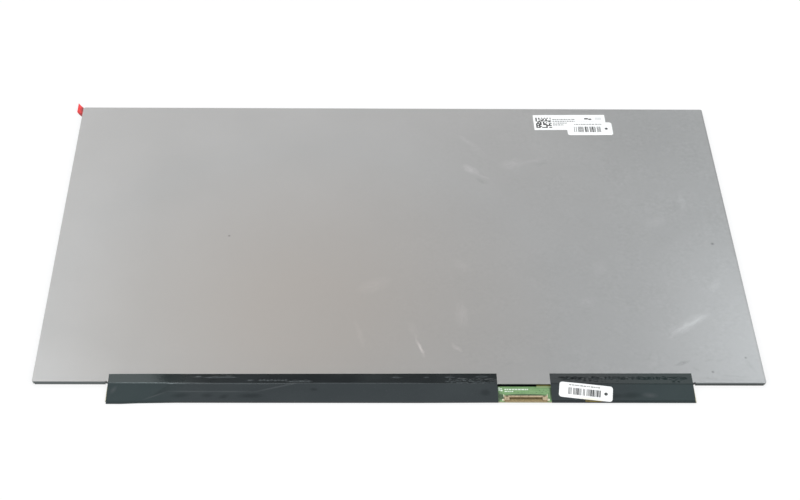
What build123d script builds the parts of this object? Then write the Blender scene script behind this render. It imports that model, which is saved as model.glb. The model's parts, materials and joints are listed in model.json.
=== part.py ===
# Laptop screen panel: a slim liquid crystal module lying on its face, back up.
# Millimetres. X runs across the screen, Y from the board edge to the top edge, Z from the face to the back.
import os

from build123d import *

os.makedirs("parts", exist_ok=True)

# Outline of the back and the borders around the picture area
panel_width = 350.66
panel_height = 205.25
corner_radius = 1.0
side_border = 3.25
top_border = 3.4
bottom_border = 8.26

# Thickness of each layer, from the face to the back
film_thickness = 0.06
polarizer_thickness = 0.14
glass_thickness = 0.30
rim_tape_thickness = 0.10
ledge_thickness = 0.25
prism_thickness = 0.13
diffuser_thickness = 0.10
guide_thickness = 0.45
reflector_thickness = 0.12
cover_thickness = 0.30

# Rear cover: where its folded walls end, the lip over the board and what its rounded edge leaves of the sheet
wall_relief = 1.2
wall_rise = 0.3
edge_land = 0.08
lip_reach = 1.1
lip_overhang = 0.2
lip_relief = 0.8
lip_relief_depth = 0.3

# Picture cell
glass_clearance = 0.05
bonding_ledge = 2.4
polarizer_overlap = 0.9

# Moulded frame, its rim tape and the light stack inside it
frame_clearance = 0.05
frame_wall = 1.0
frame_corner_radius = 0.8
opening_clearance = 0.3
rim_tape_inset = 0.2
sheet_clearance = 0.25
sheet_setback = 0.8
reflector_gap = 0.2

# Ears that locate the sheets and the light guide in pockets of the frame
ear_length = 8.0
ear_reach = 0.5
ear_clearance = 0.08
ear_drop_upper = 35.0
ear_drop_lower = 140.0

# Light bar
flex_thickness = 0.12
flex_width = 3.2
flex_wall_gap = 0.1
led_count = 48
led_width = 3.0
led_depth = 0.6
led_height = 0.42
led_setback = 0.25
led_end_margin = 6.0
led_rim = 0.08
led_window_depth = 0.1
guide_gap = 0.05
tail_width = 9.0
tail_show = 6.7
tail_slot_clearance = 0.3
tail_straight = 0.2
tail_rise_end = 0.15
tail_foot = 0.55

# Driver board and the films that join it to the glass
board_left_margin = 35.97
board_right_margin = 35.02
board_reach = 11.07
board_gap = 1.6
board_thickness = 0.6
board_chamfer = 0.8
driver_film_count = 4
driver_film_thickness = 0.06
driver_film_gap = 0.3
driver_film_lap = 4.2
driver_film_glass_width = 32.0
driver_film_board_width = 27.0
driver_film_end_margin = 35.4
chip_length = 24.0
chip_width = 1.2
chip_setback = 1.4
chip_clearance = 0.02
shield_thickness = 0.08
shield_lap = 2.9
shield_margin = 0.5

# Cable socket
socket_from_right = 80.81
pin_count = 30
pin_pitch = 0.5
pin_width = 0.2
pin_thickness = 0.12
pin_clearance = 0.03
pin_seat = 0.25
pin_front_gap = 0.35
pin_bump_rise = 0.08
pin_bump_length = 0.35
pin_tail_slope = 0.3
pin_tail_length = 0.6
socket_depth = 3.0
socket_floor = 0.35
socket_height = 0.88
socket_bar_depth = 0.95
socket_slot_margin = 0.6
socket_end_block = 2.2
socket_block_setback = 0.3
socket_lead_in = 0.4
shell_thickness = 0.15
shell_foot_reach = 0.8
shell_foot_depth = 1.5
shell_foot_setback = 0.5

# Black tapes over the board
tape_thickness = 0.08
tape_lap = 5.8
tape_foot = 0.9
tape_return = 3.0
tape_end_inset = 0.35
hem_reach = 1.0
hem_length = 6.5
hem_taper = 26.0
window_width = 25.4
window_shift = -0.4
tape_clearance = 0.06
ridge_from_left = 29.0
ridge_length = 41.0
ridge_from_cover = 6.8
ridge_left_run = 10.6
ridge_right_run = 21.7

# Parts on the board under the left tape
part_gap = 1.2
controller_length = 10.0
controller_width = 4.2
controller_height = 0.8
power_chip_size = 4.0
power_chip_height = 0.75
backlight_driver_size = 3.0
backlight_driver_height = 0.75
memory_length = 3.0
memory_width = 2.0
memory_height = 0.55
pin_mark_radius = 0.25
pin_mark_depth = 0.05
pin_mark_inset = 0.6
inductor_count = 3
inductor_size = 3.0
inductor_flange = 0.2
inductor_core_radius = 1.15
inductor_core_height = 0.4
board_margin = 0.5
capacitor_count = 20
capacitor_length = 1.0
capacitor_width = 0.5
capacitor_height = 0.5
end_cap_length = 0.25
end_cap_rise = 0.03
resistor_count = 20
resistor_length = 0.6
resistor_width = 0.3
resistor_height = 0.25
chip_row_pitch = 3.2

# Labels
label_thickness = 0.08
product_label_width = 40.5
product_label_height = 13.0
product_label_from_right = 56.0
product_label_from_top = 5.4
far_label_turn = 0.6
barcode_label_width = 25.4
barcode_label_radius = 1.5
upper_label_height = 11.0
upper_label_from_right = 52.75
upper_label_from_top = 12.0
lower_label_height = 8.6
lower_label_from_right = 52.0
lower_label_from_cover = 5.35
lower_label_turn = -7.3

# Pull tab of the protective film
tab_thickness = 0.08
tab_inside = 2.1
tab_outside = 3.5
tab_length = 7.9
tab_drop = 6.1
tab_flat_outside = 0.9
tab_curl_radius = 4.0
tab_curl_angle = 42.0
tab_corner_radius = 1.8

# Heights of the layers
z_front_polarizer = film_thickness
z_filter_glass = z_front_polarizer + polarizer_thickness
z_array_glass = z_filter_glass + glass_thickness
z_rear_polarizer = z_array_glass + glass_thickness
z_frame = z_rear_polarizer + rim_tape_thickness
z_upper_prism = z_frame + ledge_thickness
z_lower_prism = z_upper_prism + prism_thickness
z_diffuser = z_lower_prism + prism_thickness
z_guide = z_diffuser + diffuser_thickness
z_reflector = z_guide + guide_thickness
z_cover = z_reflector + reflector_thickness
z_back = z_cover + cover_thickness

# Edges of the panel, the picture area and the glass
right_edge = panel_width / 2
top_edge = panel_height / 2
bottom_edge = -panel_height / 2
active_width = panel_width - 2 * side_border
active_height = panel_height - top_border - bottom_border
active_y = (bottom_border - top_border) / 2
polarizer_width = active_width + 2 * polarizer_overlap
polarizer_height = active_height + 2 * polarizer_overlap
glass_inset = cover_thickness + glass_clearance
glass_width = panel_width - 2 * glass_inset
array_height = panel_height - 2 * glass_inset
array_bottom = bottom_edge + glass_inset
filter_height = array_height - bonding_ledge
filter_y = bonding_ledge / 2
filter_bottom = array_bottom + bonding_ledge

# Edges of the frame and of the light stack
frame_inset = cover_thickness + frame_clearance
frame_width = panel_width - 2 * frame_inset
frame_height = panel_height - 2 * frame_inset
cavity_width = frame_width - 2 * frame_wall
cavity_height = frame_height - 2 * frame_wall
cavity_bottom = bottom_edge + frame_inset + frame_wall
opening_width = polarizer_width + 2 * opening_clearance
opening_height = polarizer_height + 2 * opening_clearance
sheet_width = cavity_width - 2 * sheet_clearance
sheet_top = top_edge - frame_inset - frame_wall - sheet_clearance
flex_bottom = cavity_bottom + flex_wall_gap
flex_top = flex_bottom + flex_width
led_back = flex_bottom + led_setback
guide_bottom = led_back + led_depth + guide_gap
optics_bottom = guide_bottom + sheet_setback
reflector_bottom = flex_top + reflector_gap
ear_width = sheet_width + 2 * ear_reach
ear_upper_y = top_edge - ear_drop_upper
ear_lower_y = top_edge - ear_drop_lower
pocket_width = ear_width + 2 * (sheet_clearance + ear_clearance)
pocket_length = ear_length + 2 * (sheet_clearance + ear_clearance)

# Edges of the board, the socket and the tapes
z_board = z_array_glass
z_board_top = z_board + board_thickness
board_left = -right_edge + board_left_margin
board_right = right_edge - board_right_margin
board_length = board_right - board_left
board_x = (board_right + board_left) / 2
board_front = bottom_edge - board_reach
board_rear = bottom_edge - board_gap
board_width = board_rear - board_front
board_y = (board_rear + board_front) / 2
socket_x = board_right - socket_from_right
socket_front = board_front
contact_row = (pin_count - 1) * pin_pitch
slot_length = contact_row + 2 * socket_slot_margin
housing_length = slot_length + 2 * socket_end_block
window_x = socket_x + window_shift
window_left = window_x - window_width / 2
window_right = window_x + window_width / 2
tail_x = window_right - tail_show + tail_width / 2
lip_left = board_left - lip_overhang
lip_right = board_right + lip_overhang
lip_front = bottom_edge - lip_reach
tape_left = board_left + tape_end_inset
tape_right = board_right - tape_end_inset
foot_y = board_front + tape_foot
ridge_left = tape_left + ridge_from_left
ridge_right = ridge_left + ridge_length
ridge_y = bottom_edge - ridge_from_cover
ridge_z = z_board_top + controller_height + tape_clearance


# Protective film over the face, the side the panel rests on
with BuildPart() as protective_film:
    with BuildSketch(Plane.XY):
        with Locations((0, filter_y)):
            Rectangle(glass_width, filter_height)
    extrude(amount=film_thickness)

# Red tab on the film's corner margin: it runs out past the left edge at a slant and curls up
tab_edge_x = -right_edge
with BuildPart() as pull_tab:
    with BuildSketch(Plane.XZ.offset(-top_edge)):
        with BuildLine():
            under = Line((tab_edge_x + tab_inside, film_thickness), (tab_edge_x - tab_flat_outside, film_thickness))
            under_curl = JernArc(under @ 1, (-1, 0), tab_curl_radius, -tab_curl_angle)
            over = Line(
                (tab_edge_x + tab_inside, film_thickness + tab_thickness),
                (tab_edge_x - tab_flat_outside, film_thickness + tab_thickness),
            )
            over_curl = JernArc(over @ 1, (-1, 0), tab_curl_radius - tab_thickness, -tab_curl_angle)
            Line(under @ 0, over @ 0)
            Line(under_curl @ 1, over_curl @ 1)
        make_face()
    extrude(amount=tab_length + tab_inside + tab_outside, both=True)
    with BuildSketch(Plane.XY) as tab_outline:
        with BuildLine():
            Polyline(
                (tab_edge_x + tab_inside, top_edge - tab_drop - tab_inside),
                (tab_edge_x - tab_outside, top_edge - tab_drop + tab_outside),
                (tab_edge_x - tab_outside, top_edge - tab_drop + tab_outside + tab_length),
                (tab_edge_x + tab_inside, top_edge - tab_drop - tab_inside + tab_length),
                close=True,
            )
        make_face()
        fillet(tab_outline.vertices().group_by(Axis.X)[0].sort_by(Axis.Y)[0], tab_corner_radius)
    extrude(amount=z_back, mode=Mode.INTERSECT)

# Picture cell
with BuildPart() as front_polarizer:
    with BuildSketch(Plane.XY.offset(z_front_polarizer)):
        with Locations((0, active_y)):
            Rectangle(polarizer_width, polarizer_height)
    extrude(amount=polarizer_thickness)

with BuildPart() as filter_glass:
    with BuildSketch(Plane.XY.offset(z_filter_glass)):
        with Locations((0, filter_y)):
            Rectangle(glass_width, filter_height)
    extrude(amount=glass_thickness)

with BuildPart() as array_glass:
    with BuildSketch(Plane.XY.offset(z_array_glass)):
        Rectangle(glass_width, array_height)
    extrude(amount=glass_thickness)

with BuildPart() as rear_polarizer:
    with BuildSketch(Plane.XY.offset(z_rear_polarizer)):
        with Locations((0, active_y)):
            Rectangle(polarizer_width, polarizer_height)
    extrude(amount=polarizer_thickness)

# Tape that holds the cell on the frame
with BuildPart() as rim_tape:
    with BuildSketch(Plane.XY.offset(z_rear_polarizer)):
        Rectangle(frame_width - 2 * rim_tape_inset, frame_height - 2 * rim_tape_inset)
        with Locations((0, active_y)):
            Rectangle(opening_width, opening_height, mode=Mode.SUBTRACT)
    extrude(amount=rim_tape_thickness)

# Frame: a thin ledge behind the glass, a wall around the light stack and a slot for the tail of the light bar
with BuildPart() as mold_frame:
    with BuildSketch(Plane.XY.offset(z_frame)):
        RectangleRounded(frame_width, frame_height, frame_corner_radius)
        with Locations((0, active_y)):
            Rectangle(opening_width, opening_height, mode=Mode.SUBTRACT)
    extrude(amount=ledge_thickness)
    with BuildSketch(Plane.XY.offset(z_upper_prism)):
        RectangleRounded(frame_width, frame_height, frame_corner_radius)
        Rectangle(cavity_width, cavity_height, mode=Mode.SUBTRACT)
        with Locations((0, ear_upper_y), (0, ear_lower_y)):
            Rectangle(pocket_width, pocket_length, mode=Mode.SUBTRACT)
    extrude(amount=z_cover - z_upper_prism)
    with BuildSketch(Plane.XY.offset(z_cover - flex_thickness - tail_slot_clearance)):
        with Locations((tail_x, cavity_bottom)):
            Rectangle(tail_width + 2 * tail_slot_clearance, 2 * (frame_wall + tail_slot_clearance))
    extrude(amount=flex_thickness + tail_slot_clearance, mode=Mode.SUBTRACT)

# Sheets of the light stack, each with two pairs of ears
with BuildPart() as upper_prism_sheet:
    with BuildSketch(Plane.XY.offset(z_upper_prism)):
        with Locations((0, (sheet_top + optics_bottom) / 2)):
            Rectangle(sheet_width, sheet_top - optics_bottom)
        with Locations((0, ear_upper_y), (0, ear_lower_y)):
            Rectangle(ear_width, ear_length)
    extrude(amount=prism_thickness)

with BuildPart() as lower_prism_sheet:
    with BuildSketch(Plane.XY.offset(z_lower_prism)):
        with Locations((0, (sheet_top + optics_bottom) / 2)):
            Rectangle(sheet_width, sheet_top - optics_bottom)
        with Locations((0, ear_upper_y), (0, ear_lower_y)):
            Rectangle(ear_width, ear_length)
    extrude(amount=prism_thickness)

with BuildPart() as diffuser_sheet:
    with BuildSketch(Plane.XY.offset(z_diffuser)):
        with Locations((0, (sheet_top + optics_bottom) / 2)):
            Rectangle(sheet_width, sheet_top - optics_bottom)
        with Locations((0, ear_upper_y), (0, ear_lower_y)):
            Rectangle(ear_width, ear_length)
    extrude(amount=diffuser_thickness)

with BuildPart() as light_guide_plate:
    with BuildSketch(Plane.XY.offset(z_guide)):
        with Locations((0, (sheet_top + guide_bottom) / 2)):
            Rectangle(sheet_width, sheet_top - guide_bottom)
        with Locations((0, ear_upper_y), (0, ear_lower_y)):
            Rectangle(ear_width, ear_length)
    extrude(amount=guide_thickness)

with BuildPart() as reflector_sheet:
    with BuildSketch(Plane.XY.offset(z_reflector)):
        with Locations((0, (sheet_top + reflector_bottom) / 2)):
            Rectangle(sheet_width, sheet_top - reflector_bottom)
        with Locations((0, ear_upper_y), (0, ear_lower_y)):
            Rectangle(ear_width, ear_length)
    extrude(amount=reflector_thickness)

# Light bar: a flexible strip behind the lamps, with a tail that steps down onto the board
z_flex = z_cover - flex_thickness
with BuildPart() as light_bar_flex:
    with BuildSketch(Plane.XY.offset(z_flex)):
        with Locations((0, (flex_bottom + flex_top) / 2)):
            Rectangle(sheet_width, flex_width)
    extrude(amount=flex_thickness)
    with BuildSketch(Plane.YZ.offset(tail_x)):
        with BuildLine():
            Polyline(
                (flex_bottom + led_setback, z_flex),
                (bottom_edge - tail_straight, z_flex),
                (board_rear - tail_rise_end, z_board_top),
                (board_rear - tail_rise_end - tail_foot, z_board_top),
                (board_rear - tail_rise_end - tail_foot, z_board_top + flex_thickness),
                (board_rear - tail_rise_end, z_board_top + flex_thickness),
                (bottom_edge - tail_straight, z_cover),
                (flex_bottom + led_setback, z_cover),
                close=True,
            )
        make_face()
    extrude(amount=tail_width / 2, both=True)

led_pitch = (sheet_width - 2 * led_end_margin) / (led_count - 1)
with BuildPart() as light_bar_leds:
    with BuildSketch(Plane.XY.offset(z_flex - led_height)):
        with Locations((0, led_back + led_depth / 2)):
            with GridLocations(led_pitch, led_depth, led_count, 1):
                Rectangle(led_width, led_depth)
    extrude(amount=led_height)
    with BuildSketch(Plane.XZ.offset(-led_back - led_depth)):
        with Locations((0, z_flex - led_height / 2)):
            with GridLocations(led_pitch, led_height, led_count, 1):
                Rectangle(led_width - 2 * led_rim, led_height - 2 * led_rim)
    extrude(amount=led_window_depth, mode=Mode.SUBTRACT)

# Back: a plate with walls folded down all round, apart from a flat lip over the board between two bend reliefs
near_walls = [
    (-right_edge + wall_relief, lip_left - lip_relief),
    (lip_right + lip_relief, right_edge - wall_relief),
]
with BuildPart() as rear_cover:
    with BuildSketch(Plane.XY.offset(z_cover)):
        RectangleRounded(panel_width, panel_height, corner_radius)
        with Locations(((lip_left + lip_right) / 2, bottom_edge)):
            Rectangle(lip_right - lip_left, 2 * lip_reach)
            with GridLocations(lip_right - lip_left + lip_relief, lip_reach, 2, 1):
                Rectangle(lip_relief, 2 * lip_relief_depth, mode=Mode.SUBTRACT)
    extrude(amount=cover_thickness)
    with BuildSketch(Plane.XY.offset(wall_rise)):
        with GridLocations(panel_width - cover_thickness, panel_height, 2, 1):
            Rectangle(cover_thickness, panel_height - 2 * wall_relief)
        with Locations((0, top_edge - cover_thickness / 2)):
            Rectangle(panel_width - 2 * wall_relief, cover_thickness)
        for wall_start, wall_end in near_walls:
            with Locations(((wall_start + wall_end) / 2, bottom_edge + cover_thickness / 2)):
                Rectangle(wall_end - wall_start, cover_thickness)
    extrude(amount=z_cover - wall_rise)
    back_edges = rear_cover.faces().sort_by(Axis.Z)[-1].edges()
    folded_edges = [
        edge for edge in back_edges
        if edge.center().Y > active_y or not lip_left - 2 * lip_relief < edge.center().X < lip_right + 2 * lip_relief
    ]
    fillet(folded_edges, cover_thickness - edge_land)

# Board that carries the drive circuits
with BuildPart() as driver_board:
    with BuildSketch(Plane.XY.offset(z_board)) as board_outline:
        with Locations((board_x, board_y)):
            Rectangle(board_length, board_width)
        chamfer(board_outline.vertices().group_by(Axis.Y)[-1], board_chamfer)
    extrude(amount=board_thickness)

# Cable socket: housing with a floor, a rear bar, two end blocks and a groove for each contact
with BuildPart() as connector_housing:
    with BuildSketch(Plane.XY.offset(z_board_top)):
        with Locations((socket_x, socket_front + socket_depth / 2)):
            Rectangle(housing_length, socket_depth)
    extrude(amount=socket_floor)
    with BuildSketch(Plane.XY.offset(z_board_top + socket_floor)):
        with Locations((socket_x, socket_front + socket_depth - socket_bar_depth / 2)):
            Rectangle(housing_length, socket_bar_depth)
        with Locations((socket_x, socket_front + (socket_depth + socket_block_setback) / 2)):
            with GridLocations(slot_length + socket_end_block, socket_depth, 2, 1):
                Rectangle(socket_end_block, socket_depth - socket_block_setback)
    extrude(amount=socket_height - socket_floor)
    block_corners = connector_housing.edges().filter_by(Axis.Z).group_by(Axis.Y)[1].sort_by(Axis.X)
    chamfer(block_corners[1:3], socket_lead_in)
    with BuildSketch(Plane.XY.offset(z_board_top + pin_seat)):
        with Locations((socket_x, socket_front + (socket_depth + pin_front_gap) / 2)):
            with GridLocations(pin_pitch, socket_depth, pin_count, 1):
                Rectangle(pin_width + 2 * pin_clearance, socket_depth - pin_front_gap + 2 * pin_clearance)
    extrude(amount=pin_thickness + pin_clearance, mode=Mode.SUBTRACT)

# Contacts: flat springs with a raised touch point, stepping down to solder tails behind the housing
pin_front_y = socket_front + pin_front_gap
pin_rear_y = socket_front + socket_depth + pin_clearance
z_pin = z_board_top + pin_seat
with BuildPart() as connector_contacts:
    with BuildSketch(*[
        Plane.YZ.offset(socket_x + (index - (pin_count - 1) / 2) * pin_pitch) for index in range(pin_count)
    ]):
        with BuildLine():
            Polyline(
                (pin_front_y, z_pin),
                (pin_rear_y, z_pin),
                (pin_rear_y + pin_tail_slope, z_board_top),
                (pin_rear_y + pin_tail_slope + pin_tail_length, z_board_top),
                (pin_rear_y + pin_tail_slope + pin_tail_length, z_board_top + pin_thickness),
                (pin_rear_y + pin_tail_slope, z_board_top + pin_thickness),
                (pin_rear_y, z_pin + pin_thickness),
                (pin_front_y + 3 * pin_bump_length, z_pin + pin_thickness),
                (pin_front_y + 2 * pin_bump_length, z_pin + pin_thickness + pin_bump_rise),
                (pin_front_y + pin_bump_length, z_pin + pin_thickness),
                (pin_front_y, z_pin + pin_thickness),
                close=True,
            )
        make_face()
    extrude(amount=pin_width / 2, both=True)

# Metal shell: a cover over the rear bar and the end blocks, folded down at the ends onto solder feet
shell_length = housing_length + 2 * shell_thickness
with BuildPart() as connector_shell:
    with BuildSketch(Plane.XY.offset(z_board_top + socket_height)):
        with Locations((socket_x, socket_front + socket_depth - socket_bar_depth / 2)):
            Rectangle(shell_length, socket_bar_depth)
        with Locations((socket_x, socket_front + (socket_depth + socket_block_setback) / 2)):
            with GridLocations(slot_length + socket_end_block + shell_thickness, socket_depth, 2, 1):
                Rectangle(socket_end_block + shell_thickness, socket_depth - socket_block_setback)
    extrude(amount=shell_thickness)
    with BuildSketch(Plane.XY.offset(z_board_top)):
        with Locations((socket_x, socket_front + (socket_depth + socket_block_setback) / 2)):
            with GridLocations(housing_length + shell_thickness, socket_depth, 2, 1):
                Rectangle(shell_thickness, socket_depth - socket_block_setback)
    extrude(amount=socket_height)
    with BuildSketch(Plane.XY.offset(z_board_top)):
        with Locations((socket_x, socket_front + shell_foot_setback + shell_foot_depth / 2)):
            with GridLocations(shell_length + shell_foot_reach, socket_depth, 2, 1):
                Rectangle(shell_foot_reach, shell_foot_depth)
    extrude(amount=shell_thickness)

# Parts of the board, in a row from the left under the tape's ridge
parts_y = board_rear - board_margin - controller_width / 2
controller_x = ridge_left + controller_length / 2
power_x = ridge_left + controller_length + part_gap + power_chip_size / 2
backlight_x = power_x + power_chip_size / 2 + part_gap + backlight_driver_size / 2
memory_x = backlight_x + backlight_driver_size / 2 + part_gap + memory_length / 2
inductor_x = memory_x + memory_length / 2 + part_gap + inductor_size / 2

with BuildPart() as timing_controller:
    with BuildSketch(Plane.XY.offset(z_board_top)):
        with Locations((controller_x, parts_y)):
            Rectangle(controller_length, controller_width)
    extrude(amount=controller_height)
    with BuildSketch(Plane.XY.offset(z_board_top + controller_height)):
        with Locations((
            controller_x - controller_length / 2 + pin_mark_inset,
            parts_y - controller_width / 2 + pin_mark_inset,
        )):
            Circle(pin_mark_radius)
    extrude(amount=-pin_mark_depth, mode=Mode.SUBTRACT)

with BuildPart() as power_chip:
    with BuildSketch(Plane.XY.offset(z_board_top)):
        with Locations((power_x, parts_y)):
            Rectangle(power_chip_size, power_chip_size)
    extrude(amount=power_chip_height)

with BuildPart() as backlight_driver:
    with BuildSketch(Plane.XY.offset(z_board_top)):
        with Locations((backlight_x, parts_y)):
            Rectangle(backlight_driver_size, backlight_driver_size)
    extrude(amount=backlight_driver_height)

with BuildPart() as memory_chip:
    with BuildSketch(Plane.XY.offset(z_board_top)):
        with Locations((memory_x, parts_y)):
            Rectangle(memory_length, memory_width)
    extrude(amount=memory_height)

# Coils: a round core between two square flanges
for index in range(inductor_count):
    with BuildPart() as inductor:
        with BuildSketch(Plane.XY.offset(z_board_top)):
            with Locations((inductor_x + index * (inductor_size + part_gap), parts_y)):
                Rectangle(inductor_size, inductor_size)
        extrude(amount=inductor_flange)
        with BuildSketch(Plane.XY.offset(z_board_top + inductor_flange)):
            with Locations((inductor_x + index * (inductor_size + part_gap), parts_y)):
                Circle(inductor_core_radius)
        extrude(amount=inductor_core_height)
        with BuildSketch(Plane.XY.offset(z_board_top + inductor_flange + inductor_core_height)):
            with Locations((inductor_x + index * (inductor_size + part_gap), parts_y)):
                Rectangle(inductor_size, inductor_size)
        extrude(amount=inductor_flange)
    inductor.part.label = f"inductor_{index + 1}"
    export_step(inductor.part, f"parts/inductor_{index + 1}.step")

# Small parts: a row of capacitors and a row of resistors to the right of the ridge
chip_row_x = ridge_right + chip_row_pitch * (capacitor_count - 1) / 2
with BuildPart() as capacitors:
    with BuildSketch(Plane.XY.offset(z_board_top)):
        with Locations((chip_row_x, board_rear - board_margin - capacitor_width / 2)):
            with GridLocations(chip_row_pitch, capacitor_width, capacitor_count, 1):
                Rectangle(capacitor_length, capacitor_width - 2 * end_cap_rise)
    extrude(amount=capacitor_height - end_cap_rise)
    with BuildSketch(Plane.XY.offset(z_board_top)):
        with Locations((chip_row_x, board_rear - board_margin - capacitor_width / 2)):
            with GridLocations(chip_row_pitch, capacitor_width, capacitor_count, 1):
                with GridLocations(capacitor_length - end_cap_length, capacitor_width, 2, 1):
                    Rectangle(end_cap_length, capacitor_width)
    extrude(amount=capacitor_height)

with BuildPart() as resistors:
    with BuildSketch(Plane.XY.offset(z_board_top)):
        with Locations((chip_row_x, board_rear - 2 * board_margin - capacitor_width - resistor_width / 2)):
            with GridLocations(chip_row_pitch, resistor_width, resistor_count, 1):
                Rectangle(resistor_length, resistor_width)
    extrude(amount=resistor_height)

# Films from the glass to the front of the board, each with a long driver chip on its outer side
driver_film_rear = filter_bottom - driver_film_gap
driver_film_front = board_rear - driver_film_lap
driver_film_run = board_length - 2 * driver_film_end_margin - driver_film_glass_width
driver_film_pitch = driver_film_run / (driver_film_count - 1)
z_driver_film = z_board - driver_film_thickness
chip_height = z_driver_film - z_filter_glass - chip_clearance
for index in range(driver_film_count):
    film_x = board_x + (index - (driver_film_count - 1) / 2) * driver_film_pitch
    with BuildPart() as driver_film:
        with BuildSketch(Plane.XY.offset(z_driver_film)):
            with BuildLine():
                Polyline(
                    (film_x - driver_film_glass_width / 2, driver_film_rear),
                    (film_x - driver_film_glass_width / 2, array_bottom),
                    (film_x - driver_film_board_width / 2, board_rear),
                    (film_x - driver_film_board_width / 2, driver_film_front),
                    (film_x + driver_film_board_width / 2, driver_film_front),
                    (film_x + driver_film_board_width / 2, board_rear),
                    (film_x + driver_film_glass_width / 2, array_bottom),
                    (film_x + driver_film_glass_width / 2, driver_film_rear),
                    close=True,
                )
            make_face()
        extrude(amount=driver_film_thickness)
    driver_film.part.label = f"driver_film_{index + 1}"
    export_step(driver_film.part, f"parts/driver_film_{index + 1}.step")
    with BuildPart() as driver_chip:
        with BuildSketch(Plane.XY.offset(z_driver_film)):
            with Locations((film_x, board_rear - chip_setback)):
                Rectangle(chip_length, chip_width)
        extrude(amount=-chip_height)
    driver_chip.part.label = f"driver_chip_{index + 1}"
    export_step(driver_chip.part, f"parts/driver_chip_{index + 1}.step")

# Black tape on the face side: it is stuck to the margin of the glass and covers the films and their chips
shield_rear = filter_bottom + shield_lap
shield_front = driver_film_front - shield_margin
with BuildPart() as shield_tape:
    with BuildSketch(Plane.XY.offset(z_filter_glass)):
        with Locations((board_x, (shield_rear + shield_front) / 2)):
            Rectangle(board_length, shield_rear - shield_front)
    extrude(amount=-shield_thickness)

# Ground under the left tape: the back's margin and lip, the slope down to the board and a ridge over the tall parts
slope_section = [
    (bottom_edge + tape_lap, z_board),
    (bottom_edge + tape_lap, z_back),
    (lip_front, z_back),
    (foot_y, z_board_top),
    (board_front, z_board_top),
    (board_front, z_board),
]
with BuildPart() as left_ground:
    with BuildSketch(Plane.YZ.offset(tape_left)):
        with BuildLine():
            Polyline(*slope_section, close=True)
        make_face()
    extrude(amount=window_left - tape_left)
    with BuildSketch(Plane.YZ.offset(ridge_left)) as ridge_section:
        with BuildLine():
            Polyline((lip_front, z_back), (ridge_y, ridge_z), (foot_y, z_board_top), close=True)
        make_face()
    extrude(amount=ridge_length)
    loft(sections=[Vertex(ridge_left - ridge_left_run, foot_y, z_board_top), ridge_section.sketch.face()])
    loft(sections=[
        ridge_section.sketch.face().moved(Location((ridge_length, 0, 0))),
        Vertex(ridge_right + ridge_right_run, lip_front, z_back),
    ])

# Each tape goes round the front edge of the board and a little way back under it.
# The left one stands off as a loose hem at its outer end.
wrap_section = [
    (board_front, z_board_top + tape_thickness),
    (board_front - tape_thickness, z_board_top + tape_thickness),
    (board_front - tape_thickness, z_board - tape_thickness),
    (board_front + tape_return, z_board - tape_thickness),
    (board_front + tape_return, z_board),
    (board_front, z_board),
]
with BuildPart() as cover_tape_left:
    add(left_ground.part.moved(Location((0, 0, tape_thickness))))
    add(left_ground.part, mode=Mode.SUBTRACT)
    with BuildSketch(Plane.YZ.offset(tape_left)):
        with BuildLine():
            Polyline(*wrap_section, close=True)
        make_face()
    extrude(amount=window_left - tape_left)
    with BuildSketch(Plane.XY.offset(z_board - tape_thickness)):
        with BuildLine():
            Polyline(
                (tape_left, board_front),
                (tape_left, board_front - hem_reach),
                (tape_left + hem_length, board_front - hem_reach),
                (tape_left + hem_length + hem_taper, board_front),
                close=True,
            )
        make_face()
    extrude(amount=tape_thickness)

# Right tape: the same section without a ridge
with BuildPart() as right_ground:
    with BuildSketch(Plane.YZ.offset(window_right)):
        with BuildLine():
            Polyline(*slope_section, close=True)
        make_face()
    extrude(amount=tape_right - window_right)

with BuildPart() as cover_tape_right:
    add(right_ground.part.moved(Location((0, 0, tape_thickness))))
    add(right_ground.part, mode=Mode.SUBTRACT)
    with BuildSketch(Plane.YZ.offset(window_right)):
        with BuildLine():
            Polyline(*wrap_section, close=True)
        make_face()
    extrude(amount=tape_right - window_right)

# Labels on the back
with BuildPart() as product_label:
    with BuildSketch(Plane.XY.offset(z_back)):
        with Locations((
            right_edge - product_label_from_right - product_label_width / 2,
            top_edge - product_label_from_top - product_label_height / 2,
        )):
            Rectangle(product_label_width, product_label_height, rotation=far_label_turn)
    extrude(amount=label_thickness)

with BuildPart() as barcode_label_upper:
    with BuildSketch(Plane.XY.offset(z_back + label_thickness)):
        with Locations((
            right_edge - upper_label_from_right - barcode_label_width / 2,
            top_edge - upper_label_from_top - upper_label_height / 2,
        )):
            RectangleRounded(
                barcode_label_width, upper_label_height, barcode_label_radius, rotation=far_label_turn
            )
    extrude(amount=label_thickness)

# Label that lies askew on the right tape and follows its fold
with BuildPart() as barcode_label_lower:
    add(right_ground.part.moved(Location((0, 0, tape_thickness + label_thickness))))
    add(right_ground.part.moved(Location((0, 0, tape_thickness))), mode=Mode.SUBTRACT)
    with BuildSketch(Plane.XY.offset(z_board)):
        with Locations((board_right - lower_label_from_right, bottom_edge - lower_label_from_cover)):
            RectangleRounded(
                barcode_label_width, lower_label_height, barcode_label_radius, rotation=lower_label_turn
            )
    extrude(amount=z_back, mode=Mode.INTERSECT)

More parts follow.
